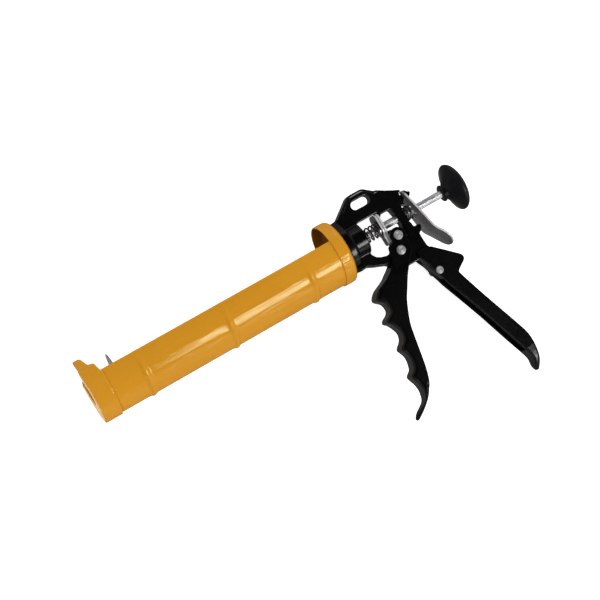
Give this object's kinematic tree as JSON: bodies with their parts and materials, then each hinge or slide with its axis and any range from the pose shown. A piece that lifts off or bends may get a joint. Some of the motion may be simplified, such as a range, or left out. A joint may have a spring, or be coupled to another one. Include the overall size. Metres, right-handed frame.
{
  "type": "caulking_gun",
  "caption": "Half-round cradle caulking gun with yellow-orange sheet cradle, black cast frame and trigger, hexagonal push rod, thumb release and round rear knob",
  "frame": {"origin": "on the push rod's axis, at the inner face of the front cap, where a cartridge's shoulder seats", "axes": "the gun lies on its side: +X rearwards along the rod from front cap to knob, +Y towards the hood and the cradle's open side, +Z out of the gun's left side"},
  "size_m": [0.3541, 0.2044, 0.0548],
  "materials": {
    "paint": "gloss",
    "casting": "satin",
    "steel": "satin",
    "zinc": "satin",
    "plastic": "gloss"
  },
  "bodies": {
    "frame": {"frame_casting": "casting", "rear_handle": "casting", "handle_rivet": "steel", "handle_pin": "casting", "retaining_ring": "steel", "trigger_pivot_rivet": "steel", "return_spring": "steel", "brake_spring": "steel"},
    "cradle": {"barrel_trough": "paint", "barrel_collar": "paint", "front_cap": "paint"},
    "trigger": {"trigger": "casting", "drive_pin_rivet": "steel", "drive_roller": "steel"},
    "drive": {"drive_plate_front": "steel", "drive_plate_rear": "steel", "spring_seat": "steel"},
    "release": {"release_lever": "steel"},
    "rod": {"push_rod": "steel", "rear_knob": "plastic", "piston_disc": "zinc", "piston_backing": "zinc", "piston_nut": "steel"}
  },
  "joints": [
    {"name": "cradle_swivel", "type": "hinge", "parent": "frame", "child": "cradle", "pos_m": [0.2315, 0, 0], "axis": [1, 0, 0], "continuous": true},
    {"name": "trigger_squeeze", "type": "hinge", "parent": "frame", "child": "trigger", "pos_m": [0.2746, -0.0238, 0], "axis": [0, 0, 1], "range_deg": [0, 28], "stiffness_Nm_per_rad": 0.4, "springref_deg": -17.19},
    {"name": "drive_stroke", "type": "slide", "parent": "frame", "child": "drive", "axis": [1, 0, 0], "range_m": [-0.0062, 0], "deforming": ["return_spring"]},
    {"name": "release_press", "type": "hinge", "parent": "frame", "child": "release", "pos_m": [0.2999, 0.017, 0], "axis": [0, 0, 1], "range_deg": [-5, 0], "stiffness_Nm_per_rad": 0.5, "springref_deg": 5.73, "deforming": ["brake_spring"]},
    {"name": "rod_slide", "type": "slide", "parent": "frame", "child": "rod", "axis": [1, 0, 0], "range_m": [-0.017, 0.195]}
  ],
  "couplings": [
    {"joint": "drive_stroke", "follows": "trigger_squeeze", "m_per_rad": -0.0124}
  ]
}
